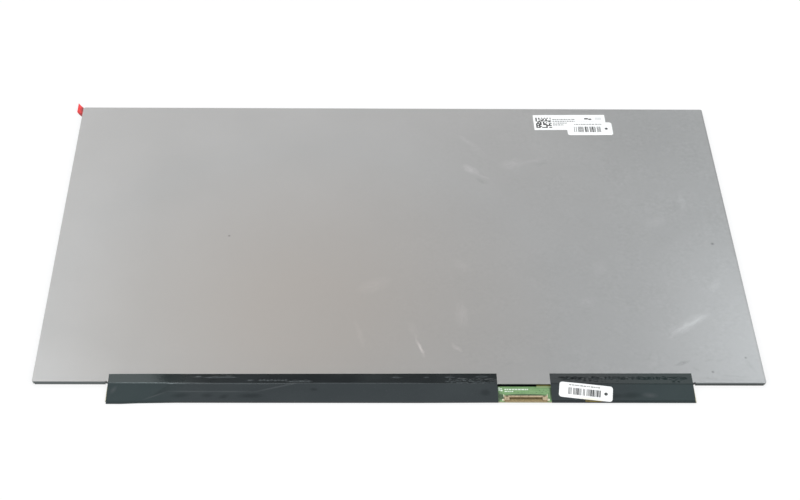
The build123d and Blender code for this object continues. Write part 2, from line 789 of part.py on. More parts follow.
pieces = {
    "protective_film": protective_film,
    "pull_tab": pull_tab,
    "front_polarizer": front_polarizer,
    "filter_glass": filter_glass,
    "array_glass": array_glass,
    "rear_polarizer": rear_polarizer,
    "rim_tape": rim_tape,
    "mold_frame": mold_frame,
    "upper_prism_sheet": upper_prism_sheet,
    "lower_prism_sheet": lower_prism_sheet,
    "diffuser_sheet": diffuser_sheet,
    "light_guide_plate": light_guide_plate,
    "reflector_sheet": reflector_sheet,
    "light_bar_flex": light_bar_flex,
    "light_bar_leds": light_bar_leds,
    "rear_cover": rear_cover,
    "driver_board": driver_board,
    "connector_housing": connector_housing,
    "connector_contacts": connector_contacts,
    "connector_shell": connector_shell,
    "timing_controller": timing_controller,
    "power_chip": power_chip,
    "backlight_driver": backlight_driver,
    "memory_chip": memory_chip,
    "capacitors": capacitors,
    "resistors": resistors,
    "shield_tape": shield_tape,
    "cover_tape_left": cover_tape_left,
    "cover_tape_right": cover_tape_right,
    "product_label": product_label,
    "barcode_label_upper": barcode_label_upper,
    "barcode_label_lower": barcode_label_lower,
}
for label, piece in pieces.items():
    piece.part.label = label
    export_step(piece.part, f"parts/{label}.step")
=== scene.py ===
import json
import math
import random

import bmesh
import bpy
import numpy as np
from mathutils import Matrix, Vector


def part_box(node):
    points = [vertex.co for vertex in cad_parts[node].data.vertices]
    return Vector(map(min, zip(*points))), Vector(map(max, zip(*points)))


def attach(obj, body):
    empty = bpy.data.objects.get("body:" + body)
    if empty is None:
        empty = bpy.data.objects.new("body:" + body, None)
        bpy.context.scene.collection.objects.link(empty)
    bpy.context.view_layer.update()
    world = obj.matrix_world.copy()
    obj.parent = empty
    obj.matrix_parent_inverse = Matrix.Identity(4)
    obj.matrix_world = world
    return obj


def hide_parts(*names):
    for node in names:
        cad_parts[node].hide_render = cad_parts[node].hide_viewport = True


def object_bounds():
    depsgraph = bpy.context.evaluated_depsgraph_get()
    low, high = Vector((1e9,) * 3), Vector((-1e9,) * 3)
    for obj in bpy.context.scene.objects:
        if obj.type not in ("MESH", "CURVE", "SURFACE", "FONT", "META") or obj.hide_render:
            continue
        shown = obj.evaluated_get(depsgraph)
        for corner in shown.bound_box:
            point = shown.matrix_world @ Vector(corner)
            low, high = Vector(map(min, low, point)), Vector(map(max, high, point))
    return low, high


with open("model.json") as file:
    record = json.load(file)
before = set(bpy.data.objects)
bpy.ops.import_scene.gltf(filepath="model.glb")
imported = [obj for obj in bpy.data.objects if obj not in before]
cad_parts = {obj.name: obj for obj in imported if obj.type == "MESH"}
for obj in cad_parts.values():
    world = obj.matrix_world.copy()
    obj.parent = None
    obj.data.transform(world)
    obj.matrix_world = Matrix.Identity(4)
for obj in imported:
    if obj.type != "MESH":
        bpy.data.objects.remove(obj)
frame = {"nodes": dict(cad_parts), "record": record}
cad_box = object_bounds()
mm = 0.001

# Places read from the solids
cover_low, cover_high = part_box("rear_cover")
board_low, board_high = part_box("driver_board")
tape_low, tape_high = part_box("cover_tape_left")
back_z = cover_high.z
board_bottom = board_low.z
board_top = board_high.z
lip_edge = cover_low.y
board_front = board_low.y
tape_thickness = tape_high.z - back_z
model_top = cad_box[1].z
socket_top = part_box("connector_shell")[1].z

# Form of the ground under the tapes, as the solids have it
tape_foot = 0.9 * mm
tape_return = 3.0 * mm
ridge_from_left = 29.0 * mm
ridge_length = 41.0 * mm
ridge_from_lip = 5.7 * mm
ridge_rise = 0.86 * mm
ridge_left_run = 10.6 * mm
ridge_right_run = 21.7 * mm
foot_y = board_front + tape_foot
crest_y = lip_edge - ridge_from_lip
ridge_left = tape_low.x + ridge_from_left
ridge_right = ridge_left + ridge_length

# How finely the tapes are modelled and how softly they bend
tape_cell_x = 0.4 * mm
tape_cell_y = 0.2 * mm
fold_soft = 0.45 * mm
edge_fade = 0.9 * mm
corner_share = 0.7
sheet_sharp_angle = 50
edge_steps = (0.2, 0.5, 0.8)
edge_round = 4
return_steps = (0.1, 0.4, 0.7, 1.0)


class Finish:
    """A material being made: its shader, and short calls for the nodes that feed it."""

    def __init__(self, name, constants):
        self.material = bpy.data.materials.new(name)
        self.material.use_nodes = True
        self.tree = self.material.node_tree
        self.shader = self.tree.nodes["Principled BSDF"]
        self.place = self.node("TexCoord").outputs["Object"]
        self.normal = None
        for socket, value in constants.items():
            self.shader.inputs[socket].default_value = value

    def node(self, kind, inputs=(), **settings):
        """A node with its settings and its inputs, each a value or another node's output."""
        made = self.tree.nodes.new("ShaderNode" + kind)
        for key, value in settings.items():
            setattr(made, key, value)
        for socket, value in dict(inputs).items():
            if isinstance(value, bpy.types.NodeSocket):
                self.tree.links.new(value, made.inputs[socket])
            else:
                made.inputs[socket].default_value = value
        return made

    def noise(self, size, detail=3.0, stretch=(1, 1, 1)):
        """Cloudy values with features of about this size, drawn out along each axis by stretch."""
        scale = [1 / (size * share) for share in stretch]
        spread = self.node("Mapping", {"Vector": self.place, "Scale": scale})
        cloud = self.node("TexNoise", {"Vector": spread.outputs["Vector"], "Scale": 1.0, "Detail": detail})
        return cloud.outputs["Fac"]

    def axis(self, name):
        """The place along one axis of the model."""
        return self.node("SeparateXYZ", {0: self.place}).outputs[name]

    def pushed(self, size, reach):
        """The place pushed about by a cloud, so that what is drawn with it has uneven edges."""
        inputs = {"Vector": self.place, "Scale": 1 / size, "Detail": 3.0}
        cloud = self.node("TexNoise", inputs).outputs["Color"]
        push = self.node("VectorMath", {0: cloud, 1: (0.5, 0.5, 0.5)}, operation="SUBTRACT").outputs[0]
        inputs = {0: push, 1: (reach, reach, 0), 2: self.place}
        return self.node("VectorMath", inputs, operation="MULTIPLY_ADD").outputs[0]

    def inside(self, x, y, length, width, turn=0.0, place=None):
        """The place within an oval on the back: its middle and size in millimetres, its turn in degrees."""
        placed = self.node("Mapping", {
            "Vector": self.place if place is None else place,
            "Location": (x * mm, y * mm, back_z),
            "Rotation": (0, 0, math.radians(turn)),
            "Scale": (length / 2 * mm, width / 2 * mm, 1),
        }, vector_type="TEXTURE")
        return placed.outputs["Vector"]

    def fading(self, inside):
        """One in the middle of an oval, fading to nought at its rim."""
        return self.node("TexGradient", {"Vector": inside}, gradient_type="SPHERICAL").outputs["Fac"]

    def patch(self, *oval):
        """An oval that fades outward from its middle."""
        return self.fading(self.inside(*oval))

    def band(self, value, low, high, to_low=0.0, to_high=1.0):
        """A value's range from low to high, spread over another range and held at its ends."""
        inputs = {"Value": value, "From Min": low, "From Max": high, "To Min": to_low, "To Max": to_high}
        return self.node("MapRange", inputs).outputs["Result"]

    def side_share(self):
        """One on faces that stand upright and nought on those that lie flat."""
        facing = self.node("SeparateXYZ", {0: self.node("NewGeometry").outputs["Normal"]}).outputs["Z"]
        return self.band(self.math("ABSOLUTE", facing, 0.0), 0.25, 0.8, 1.0, 0.0)

    def math(self, operation, first, second):
        return self.node("Math", {0: first, 1: second}, operation=operation).outputs[0]

    def mix(self, factor, first, second, blend="MIX"):
        inputs = {0: factor, 6: first, 7: second}
        return self.node("Mix", inputs, data_type="RGBA", blend_type=blend).outputs[2]

    def feed(self, socket, value):
        self.tree.links.new(value, self.shader.inputs[socket])

    def bump(self, height, distance):
        """Relief of this depth, on top of any made before."""
        inputs = {"Height": height, "Distance": distance}
        if self.normal is not None:
            inputs["Normal"] = self.normal
        self.normal = self.node("Bump", inputs).outputs["Normal"]
        self.feed("Normal", self.normal)


def colour(red, green, blue):
    return (red, green, blue, 1.0)


def grey(value):
    return colour(value, value, value)


def plain_finish(name, dark, light, size, rough, relief, constants=(), stretch=(1, 1, 1)):
    """A moulded, cast or rolled surface: its colour and gloss vary a little, with a fine relief."""
    finish = Finish(name, dict(constants))
    cloud = finish.noise(size, 4.0, stretch)
    fine = finish.noise(size / 6, 2.0, stretch)
    finish.feed("Base Color", finish.mix(finish.band(cloud, 0.3, 0.7), dark, light))
    finish.feed("Roughness", finish.band(fine, 0.3, 0.7, rough[0], rough[1]))
    finish.bump(fine, relief)
    return finish.material


# Marks on the back: middle x and y, length, width, turn in degrees, and how much paler or darker they are
marks = [
    (40.3, 74.4, 14, 4.0, -50, 0.14),
    (45.5, 67.8, 10, 7.0, -50, 0.07),
    (64.5, 55.4, 17, 10.0, 10, 0.16),
    (76.5, 58.2, 16, 3.6, 18, 0.11),
    (80.5, 55.3, 10, 4.0, 15, -0.08),
    (41.2, 50.4, 13, 6.0, -44, 0.30),
    (47.6, 44.6, 10, 2.8, -35, 0.14),
    (46.8, 41.4, 10, 2.6, -38, -0.14),
    (10.2, -79.4, 18, 2.2, -77, 0.26),
    (10.7, -80.4, 9, 2.4, -75, 0.44),
    (7.2, -68.8, 13, 6.0, -70, 0.07),
    (28.2, -80.3, 9, 2.8, -44, 0.22),
    (31.9, -58.5, 21, 9.0, 90, 0.13),
    (142.4, -65.2, 29, 8.5, 37, 0.15),
    (140.5, -67.2, 27, 3.2, 38, 0.16),
    (147.2, -62.2, 22, 3.6, 34, 0.18),
    (150.5, -60.0, 15, 7.0, 30, 0.09),
    (136.6, -90.2, 11, 2.6, 23, -0.30),
    (52.1, -91.0, 9, 3.0, 17, -0.06),
    (136.6, 9.2, 16, 10.0, 20, 0.10),
    (152.8, 26.5, 16, 5.0, -86, 0.13),
    (33.8, -24.0, 14, 8.0, -40, 0.08),
    (-11.9, -37.8, 22, 11.0, 30, 0.09),
    (-19.3, -71.0, 22, 3.6, -76, 0.09),
    (103.8, -25.2, 15, 8.0, 70, 0.09),
    (94.7, -49.4, 14, 8.0, 20, 0.09),
    (161.4, -37.2, 12, 6.0, 60, 0.13),
    (169.4, -92.0, 11, 3.0, -62, -0.12),
    (149.9, -88.4, 6, 2.0, 5, -0.12),
    (155.2, -88.4, 7, 2.0, 3, -0.09),
    (142.6, -94.2, 6, 2.4, -20, -0.12),
    (161.0, -98.7, 18, 1.8, -4, -0.13),
    (147.5, -99.9, 14, 2.0, 0, -0.11),
    (157.0, -100.8, 36, 1.8, 0, -0.07),
]

# A painted warm tint of reflected light on the back: middle, length and width
painted_warm_tint = (-45.0, -60.0, 260.0, 250.0)

# Painted light on two corners of the back and painted shade on a third: middle, length, width and gain
painted_corner_light_and_shade = [
    (182.0, -75.0, 130.0, 190.0, 0.21),
    (-180.0, -112.0, 110.0, 90.0, 0.17),
    (145.0, 85.0, 130.0, 110.0, -0.07),
]

# Small dark specks on the back: middle x and y, and width
specks = [
    (164.3, -7.2, 3.0),
    (150.6, -95.8, 2.4),
    (168.0, -86.6, 2.2),
    (-87.0, -2.2, 2.2),
]

# Painted shadow at the two ends of the lip, beside the tapes: middle x and y, and width
painted_lip_end_shadows = [
    (-139.5, -103.5, 1.9),
    (140.2, -103.3, 1.6),
]

# Spans over which the back's tone changes: across it, with a painted cool tint of reflected light and a
# painted highlight at the left end, toward the near edge with painted shade, at a fold, and down the walls
# with painted shade
painted_cool_tint_span = (60 * mm, 165 * mm)
wear_span = (-30 * mm, 150 * mm)
painted_left_highlight_span = (-176 * mm, -125 * mm)
near_shade_span = (-95 * mm, 95 * mm)
near_shade_fade_span = (60 * mm, 160 * mm)
fold_span = (cover_high.x - 1.1 * mm, cover_high.x - 0.5 * mm)
painted_wall_shade_span = (1.0 * mm, 1.7 * mm)
painted_wall_fade_span = (-100 * mm, 100 * mm)


def metal_back():
    """Satin sheet metal with a rolled grain and a cloudy tone, worn by handling, with painted warm and cool
    tints of reflected light, painted light and shade toward its edges and corners, painted shadows at the
    lip's ends and painted shade on its walls.
    """
    finish = Finish("satin_metal", {"Metallic": 1.0})
    grain = finish.noise(0.18 * mm, 2.0, (12, 1, 1))
    cloud = finish.noise(45 * mm, 5.0)
    mottle = finish.noise(1.5 * mm, 4.0, (1.2, 1.2, 1))
    across = finish.axis("X")
    tone = finish.mix(finish.band(cloud, 0.3, 0.7), colour(0.436, 0.431, 0.426), colour(0.456, 0.451, 0.446))
    # Painted warm tint of reflected light, then a painted cool tint toward the right
    warm = finish.patch(*painted_warm_tint)
    tone = finish.mix(finish.band(warm, 0.0, 0.8), tone, colour(0.462, 0.430, 0.404))
    tone = finish.mix(finish.band(across, *painted_cool_tint_span), tone, colour(0.434, 0.440, 0.440))
    worn = finish.band(across, *wear_span, 0.05, 0.28)
    worn = finish.math("MULTIPLY", worn, finish.band(finish.noise(14 * mm, 3.0), 0.38, 0.62, 0.35, 1.0))
    shade = finish.math("MULTIPLY", finish.math("SUBTRACT", mottle, 0.5), worn)
    # Painted highlight toward the left end
    shade = finish.math("ADD", shade, finish.band(across, *painted_left_highlight_span, 0.09, 0.0))
    # Painted shade toward the near edge, weaker toward the right
    painted_near_shade = finish.band(finish.axis("Y"), *near_shade_span, -0.085, 0.0)
    painted_near_shade = finish.math("MULTIPLY", painted_near_shade, finish.band(across, *near_shade_fade_span, 1.0, 0.3))
    shade = finish.math("ADD", shade, painted_near_shade)
    # Painted light on two corners and painted shade on a third
    for *corner, gain in painted_corner_light_and_shade:
        oval = finish.patch(*corner)
        shade = finish.math("ADD", shade, finish.band(oval, 0.0, 1.0, 0.0, gain))
    uneven = finish.pushed(5 * mm, 4 * mm)
    for x, y, length, width, turn, strength in marks:
        inside = finish.inside(x, y, length, width, turn, uneven)
        drawn = finish.node("VectorMath", {0: inside, 1: (1.0, 5.0, 1.0)}, operation="MULTIPLY").outputs[0]
        strokes = finish.node("TexNoise", {"Vector": drawn, "Scale": 2.0, "Detail": 3.0}).outputs["Fac"]
        strokes = finish.band(strokes, 0.38, 0.62, 0.25 * strength, strength)
        oval = finish.band(finish.fading(inside), 0.0, 0.8)
        shade = finish.math("ADD", shade, finish.math("MULTIPLY", oval, strokes))
    for x, y, width in specks:
        oval = finish.patch(x, y, width, width)
        shade = finish.math("ADD", shade, finish.band(oval, 0.2, 0.9, 0.0, -0.45))
    # Painted shadow at the ends of the lip
    for x, y, width in painted_lip_end_shadows:
        oval = finish.patch(x, y, width, width)
        shade = finish.math("ADD", shade, finish.band(oval, 0.1, 0.4, 0.0, -0.9))
    shade = finish.math("ADD", shade, finish.band(across, *fold_span, 0.0, -0.13))
    tone = finish.mix(1.0, tone, finish.math("ADD", shade, 1.0), "MULTIPLY")
    # Painted shade on the walls, darker toward the floor, evening out toward the left end
    upward = finish.band(finish.axis("Z"), *painted_wall_shade_span)
    wall = finish.mix(upward, colour(0.056, 0.059, 0.059), colour(0.146, 0.162, 0.164))
    wall = finish.mix(finish.band(across, *painted_wall_fade_span), colour(0.126, 0.140, 0.140), wall)
    finish.feed("Base Color", finish.mix(finish.side_share(), tone, wall))
    rough = finish.band(mottle, 0.3, 0.7, 0.35, 0.40)
    dull = finish.math("MULTIPLY", finish.math("MAXIMUM", shade, 0.0), 0.2)
    finish.feed("Roughness", finish.math("ADD", rough, dull))
    finish.bump(grain, 0.002 * mm)
    return finish.material


# Pale smudges on the tapes, and painted highlights along the folds over the tall parts: middle, length, width
# and turn
smudges_and_painted_highlights = [
    (118.6, -109.9, 9.0, 3.6, -6),
    (-136.0, -107.5, 3.0, 6.0, -30),
    (-115.8, -110.7, 15.0, 1.2, 21.5),
    (-100.0, -108.5, 26.0, 1.2, 0.0),
    (-82.0, -108.5, 34.0, 1.2, 0.0),
    (-58.0, -105.7, 30.0, 1.2, 14.7),
]

# Duller spots on the tapes: middle, length, width and turn
dull_spots = [
    (109.6, -110.0, 13.0, 4.4, 4),
    (102.0, -110.4, 8.0, 3.6, 8),
    (-104.0, -110.6, 11.0, 3.0, 4),
    (-91.5, -110.6, 7.0, 3.0, 0),
    (-83.5, -111.2, 6.0, 2.8, 14),
    (-71.0, -110.8, 15.0, 3.0, 2),
    (-41.0, -107.0, 5.0, 2.4, 0),
    (40.5, -108.6, 6.0, 5.0, 0),
]

# Wrinkled stretches of the right tape: middle, length, width and turn
wrinkled = [
    (105.8, -99.9, 74.0, 2.6, 0),
    (86.0, -101.0, 30.0, 2.2, -6),
    (132.0, -101.8, 9.0, 1.8, 0),
]

# Ends of the tapes, which are greener, by their distance from the middle
greener_span = (98 * mm, 120 * mm)


def tape_film(name):
    """Black film: glossy, greener at its ends, with orange peel, a hazy bloom, dust, pale smudges, painted
    highlights along its folds and wrinkles.
    """
    finish = Finish(name, {"IOR": 1.5, "Specular Tint": colour(0.90, 0.98, 1.0)})
    bloom = finish.noise(14 * mm, 4.0, (2, 1, 1))
    dust = finish.noise(0.35 * mm, 2.0)
    peel = finish.noise(1.1 * mm, 2.0)
    tone = finish.mix(finish.band(bloom, 0.35, 0.7), colour(0.010, 0.012, 0.013), colour(0.017, 0.020, 0.021))
    ends = finish.band(finish.math("ABSOLUTE", finish.axis("X"), 0.0), *greener_span)
    tone = finish.mix(1.0, tone, finish.mix(ends, grey(0.0), colour(0.000, 0.006, 0.005)), "ADD")
    tone = finish.mix(finish.band(dust, 0.70, 0.78, 0.0, 0.35), tone, grey(0.16))
    # Pale smudges, and painted highlights along the folds
    for place in smudges_and_painted_highlights:
        oval = finish.patch(*place)
        tone = finish.mix(finish.band(oval, 0.0, 0.9, 0.0, 0.6), tone, colour(0.050, 0.054, 0.056))
    finish.feed("Base Color", tone)
    gloss = finish.band(bloom, 0.3, 0.75, 0.52, 0.48)
    for place in dull_spots:
        oval = finish.patch(*place)
        gloss = finish.math("SUBTRACT", gloss, finish.band(oval, 0.0, 0.7, 0.0, 0.17))
    creases = finish.band(finish.noise(0.8 * mm, 2.0, (1.5, 1, 1)), 0.46, 0.56, 0.10, -0.32)
    for place in wrinkled:
        oval = finish.patch(*place)
        crossed = finish.math("MULTIPLY", creases, finish.band(oval, 0.05, 0.35))
        gloss = finish.math("ADD", gloss, crossed)
    finish.feed("Specular IOR Level", finish.math("MAXIMUM", gloss, 0.04))
    finish.feed("Roughness", finish.band(bloom, 0.3, 0.75, 0.05, 0.10))
    finish.bump(peel, 0.004 * mm)
    return finish.material


# A cream stain along the askew label's low edge: middle, length, width and turn
stain_place = (90.5, -112.3, 15.0, 2.6, -7.3)


def label_paper():
    """White coated paper with faint fibres and a cream stain."""
    finish = Finish("label_paper", {})
    fibre = finish.noise(0.5 * mm, 4.0, (4, 1, 1))
    cloud = finish.noise(9 * mm, 2.0)
    tone = finish.mix(finish.band(cloud, 0.3, 0.7), colour(0.87, 0.87, 0.86), colour(0.91, 0.91, 0.905))
    tone = finish.mix(finish.band(fibre, 0.35, 0.7, 0.0, 0.10), tone, colour(0.78, 0.78, 0.76))
    stain = finish.patch(*stain_place)
    tone = finish.mix(finish.band(stain, 0.0, 0.7, 0.0, 0.4), tone, colour(0.80, 0.72, 0.42))
    finish.feed("Base Color", tone)
    finish.feed("Roughness", finish.band(fibre, 0.3, 0.7, 0.42, 0.58))
    finish.bump(fibre, 0.003 * mm)
    return finish.material


# Painted shadows on the board, behind the socket and beside the tapes' edges: middle, length and width
board_shadows = [
    (59.5, -109.5, 24.0, 1.9),
    (48.0, -110.6, 3.4, 4.6),
    (46.5, -110.6, 2.6, 9.0),
    (46.2, -105.0, 1.6, 6.0),
    (72.0, -109.0, 2.2, 14.0),
]

# Bare ends of the board, by their distance from the middle
bare_span = (138.7 * mm, 139.1 * mm)


def board_lacquer():
    """Green lacquer over glass cloth, paler where copper lies under it, with painted shadows behind the
    socket and beside the tapes' edges.
    """
    finish = Finish("board_lacquer", {"IOR": 1.5})
    cloud = finish.noise(4 * mm, 3.0)
    cloth = finish.noise(0.3 * mm, 2.0)
    copper = finish.node("TexBrick", {
        "Vector": finish.place,
        "Color1": grey(1.0), "Color2": grey(0.7), "Mortar": grey(0.0),
        "Scale": 1.0, "Mortar Size": 0.12 * mm, "Brick Width": 3.4 * mm, "Row Height": 1.3 * mm,
    }).outputs["Color"]
    tone = finish.mix(finish.band(cloud, 0.3, 0.7), colour(0.118, 0.250, 0.095), colour(0.165, 0.305, 0.128))
    tone = finish.mix(finish.band(copper, 0.0, 1.0, 0.0, 0.45), tone, colour(0.260, 0.425, 0.190))
    # Painted shadows behind the socket and beside the tapes' edges
    for place in board_shadows:
        oval = finish.patch(*place)
        tone = finish.mix(finish.band(oval, 0.0, 0.45, 0.0, 0.8), tone, colour(0.040, 0.062, 0.034))
    ends = finish.band(finish.math("ABSOLUTE", finish.axis("X"), 0.0), *bare_span)
    tone = finish.mix(ends, tone, colour(0.62, 0.58, 0.40))
    finish.feed("Base Color", finish.mix(finish.side_share(), tone, colour(0.30, 0.26, 0.15)))
    finish.feed("Roughness", finish.band(cloth, 0.3, 0.7, 0.22, 0.34))
    finish.bump(copper, 0.012 * mm)
    finish.bump(cloth, 0.002 * mm)
    return finish.material


# Painted shade in the socket's slot: where along Y and how far below its top it is darkest, and where the
# light reaches it
slot_dark_y = -111.7
slot_light_y = -112.9
slot_dark_drop = 0.75
slot_light_drop = 0.40

# Painted shade of pits in the socket's end posts: middle, length and width
painted_post_pit_shade = [
    (50.5, -110.95, 1.9, 1.5),
    (68.25, -110.95, 1.7, 1.5),
]


def slot_finish(name, dark, light, size, rough, constants=()):
    """Plastic or plating of the cable socket, with painted shade far down in its slot and in the pits of its
    end posts.
    """
    finish = Finish(name, dict(constants))
    cloud = finish.noise(size, 4.0)
    inward = finish.band(finish.axis("Y"), slot_light_y * mm, slot_dark_y * mm)
    dark_z = socket_top - slot_dark_drop * mm
    light_z = socket_top - slot_light_drop * mm
    under = finish.band(finish.axis("Z"), dark_z, light_z, 1.0, 0.0)
    # Painted shade far down in the slot
    deep = finish.math("MULTIPLY", inward, under)
    tone = finish.mix(finish.band(cloud, 0.3, 0.7), dark, light)
    # Painted shade of the pits in the end posts
    for place in painted_post_pit_shade:
        oval = finish.patch(*place)
        tone = finish.mix(finish.band(oval, 0.0, 0.5, 0.0, 0.8), tone, colour(0.100, 0.075, 0.040))
    deep = finish.math("MULTIPLY", deep, 0.80)
    finish.feed("Base Color", finish.mix(deep, tone, colour(0.050, 0.036, 0.016)))
    finish.feed("Roughness", finish.band(cloud, 0.3, 0.7, rough[0], rough[1]))
    finish.bump(cloud, 0.002 * mm)
    return finish.material


# Painted shade on the red film, where it bends: middle, length and width
tab_shadows = [
    (-175.8, 103.6, 3.8, 8.0),
    (-176.8, 97.6, 6.0, 6.4),
]


def red_film():
    """Red film of the pull tab: thin, glossy, a little cloudy, with painted shade where it bends."""
    finish = Finish("red_film", {
        "IOR": 1.5, "Subsurface Weight": 0.3, "Subsurface Radius": (1.0 * mm, 0.2 * mm, 0.2 * mm),
    })
    cloud = finish.noise(1.8 * mm, 3.0)
    tone = finish.mix(finish.band(cloud, 0.3, 0.7), colour(0.80, 0.030, 0.032), colour(0.90, 0.046, 0.046))
    # Painted shade where the film bends
    for place in tab_shadows:
        oval = finish.patch(*place)
        tone = finish.mix(finish.band(oval, 0.0, 0.6, 0.0, 0.85), tone, colour(0.30, 0.030, 0.036))
    finish.feed("Base Color", tone)
    finish.feed("Roughness", finish.band(cloud, 0.3, 0.7, 0.22, 0.36))
    finish.bump(cloud, 0.01 * mm)
    return finish.material


# Lacquered foot of the light bar's tail: middle, length and width
tail_foot = (68.5, -105.0, 30.0, 2.3)


def amber_film():
    """Amber flexible circuit, cloudy, with green lacquer over the foot of its tail."""
    finish = Finish("amber_film", {"Specular IOR Level": 0.12})
    cloud = finish.noise(2.5 * mm, 4.0)
    tone = finish.mix(finish.band(cloud, 0.3, 0.7), colour(0.068, 0.056, 0.014), colour(0.110, 0.092, 0.024))
    foot = finish.patch(*tail_foot)
    tone = finish.mix(finish.band(foot, 0.05, 0.40), tone, colour(0.275, 0.370, 0.180))
    finish.feed("Base Color", tone)
    finish.feed("Roughness", finish.band(cloud, 0.3, 0.7, 0.45, 0.55))
    finish.bump(cloud, 0.003 * mm)
    return finish.material


def clear_sheet(name, dark, light, rough, ior):
    """Glass or clear film, with a faint tint and fine scratches in its gloss."""
    finish = Finish(name, {"Transmission Weight": 1.0, "IOR": ior})
    cloud = finish.noise(30 * mm, 3.0)
    scratch = finish.noise(0.4 * mm, 3.0, (20, 1, 1))
    finish.feed("Base Color", finish.mix(finish.band(cloud, 0.3, 0.7), dark, light))
    finish.feed("Roughness", finish.band(scratch, 0.45, 0.75, rough[0], rough[1]))
    return finish.material


def make_finishes():
    """One material for each slot of the record, under the slot's name."""
    metal = {"Metallic": 1.0}
    return {
        "aluminium_back": metal_back(),
        "black_plastic": plain_finish(
            "black_plastic", grey(0.035), colour(0.050, 0.052, 0.053), 6 * mm, (0.40, 0.55), 0.004 * mm),
        "clear_film": clear_sheet(
            "clear_film", colour(0.90, 0.93, 0.95), colour(0.96, 0.98, 0.99), (0.04, 0.20), 1.49),
        "red_film": red_film(),
        "dark_polarizer": plain_finish(
            "dark_polarizer", grey(0.006), colour(0.009, 0.009, 0.012), 40 * mm, (0.10, 0.18), 0.0002 * mm),
        "glass": clear_sheet("glass", colour(0.80, 0.90, 0.86), colour(0.86, 0.94, 0.91), (0.0, 0.05), 1.52),
        "black_tape": tape_film("tape_film"),
        "clear_sheet": clear_sheet(
            "clear_sheet", colour(0.92, 0.93, 0.94), colour(0.97, 0.98, 0.98), (0.15, 0.35), 1.55),
        "white_sheet": plain_finish(
            "white_sheet", grey(0.84), grey(0.90), 12 * mm, (0.45, 0.60), 0.002 * mm),
        "amber_film": amber_film(),
        "lamp": plain_finish(
            "lamp", colour(0.80, 0.72, 0.40), colour(0.88, 0.84, 0.62), 1.2 * mm, (0.30, 0.45), 0.002 * mm),
        "green_board": board_lacquer(),
        "socket_plastic": slot_finish(
            "socket_plastic", colour(0.235, 0.170, 0.085), colour(0.300, 0.225, 0.120),
            0.8 * mm, (0.35, 0.50)),
        "socket_metal": slot_finish(
            "socket_metal", colour(0.52, 0.410, 0.270), colour(0.64, 0.520, 0.350),
            0.9 * mm, (0.26, 0.40), metal),
        "contact_metal": slot_finish(
            "contact_metal", colour(0.42, 0.320, 0.130), colour(0.54, 0.420, 0.190),
            0.4 * mm, (0.22, 0.36), metal),
        "chip": plain_finish(
            "chip", grey(0.018), grey(0.032), 0.8 * mm, (0.45, 0.60), 0.003 * mm),
        "coil": plain_finish(
            "coil", grey(0.050), colour(0.085, 0.080, 0.076), 0.7 * mm, (0.50, 0.65), 0.006 * mm),
        "chip_capacitor": plain_finish(
            "chip_capacitor", colour(0.28, 0.20, 0.14), colour(0.38, 0.28, 0.20),
            0.4 * mm, (0.35, 0.50), 0.002 * mm),
        "label": label_paper(),
    }


finishes = make_finishes()
ink = plain_finish("black_ink", grey(0.020), grey(0.050), 0.5 * mm, (0.45, 0.65), 0.001 * mm)
pale_ink = plain_finish("grey_ink", grey(0.17), grey(0.28), 0.5 * mm, (0.45, 0.65), 0.001 * mm)
faint_ink = plain_finish("faint_ink", grey(0.66), grey(0.76), 0.5 * mm, (0.45, 0.65), 0.001 * mm)
white_print = plain_finish(
    "white_print", colour(0.62, 0.72, 0.60), colour(0.74, 0.82, 0.72), 0.4 * mm, (0.45, 0.60), 0.001 * mm)
solder = plain_finish(
    "solder", colour(0.62, 0.60, 0.44), colour(0.82, 0.82, 0.64), 0.5 * mm, (0.22, 0.36), 0.004 * mm)
via_rim = plain_finish(
    "via_rim", colour(0.03, 0.06, 0.03), colour(0.06, 0.10, 0.05), 0.4 * mm, (0.35, 0.50), 0.001 * mm)
amber_scrap = plain_finish(
    "amber_scrap", colour(0.085, 0.066, 0.016), colour(0.170, 0.125, 0.030),
    1.5 * mm, (0.40, 0.50), 0.003 * mm, {"Specular IOR Level": 0.2})


def dress_solids():
    """Each solid's finish, by the record's slot that it was packed with."""
    for row in frame["record"]["subparts"]:
        for slot in frame["nodes"][row["node"]].material_slots:
            slot.link = "OBJECT"
            slot.material = finishes[row["material_slot"]]


def piece(name, mesh, material):
    """A new piece of the object, carried by its one body."""
    made = bpy.data.objects.new(name, mesh)
    bpy.context.scene.collection.objects.link(made)
    mesh.materials.append(material)
    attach(made, "root")
    return made


def mesh_of(name, form, smooth_angle=None):
    """A mesh from an edited form, with its normals outward."""
    bmesh.ops.recalc_face_normals(form, faces=form.faces)
    mesh = bpy.data.meshes.new(name)
    form.to_mesh(mesh)
    form.free()
    if smooth_angle is not None:
        mesh.shade_smooth()
        mesh.set_sharp_from_angle(angle=math.radians(smooth_angle))
    return mesh


def closed_sheet(name, inner, outer):
    """A closed mesh between two grids of points, one on each face of a sheet."""
    count = inner.shape[0] * inner.shape[1]
    index = np.arange(count).reshape(inner.shape[:2])
    corners = [index[:-1, :-1], index[1:, :-1], index[1:, 1:], index[:-1, 1:]]
    cells = np.stack(corners, axis=-1).reshape(-1, 4)
    rim = np.concatenate([index[:, 0], index[-1, 1:], index[-2::-1, -1], index[0, -2:0:-1]])
    after = np.roll(rim, -1)
    sides = np.stack([rim, after, after + count, rim + count], axis=-1)
    faces = np.concatenate([cells + count, cells[:, ::-1], sides])
    mesh = bpy.data.meshes.new(name)
    points = np.concatenate([inner.reshape(-1, 3), outer.reshape(-1, 3)])
    mesh.from_pydata(points.tolist(), [], faces.tolist())
    mesh.shade_smooth()
    mesh.set_sharp_from_angle(angle=math.radians(sheet_sharp_angle))
    return mesh


# Tapes over the board
def slope_height(y):
    """Ground under a tape: the back's margin and lip, the slope down to the board and the board's edge."""
    return np.interp(y, [foot_y, lip_edge], [board_top, back_z])


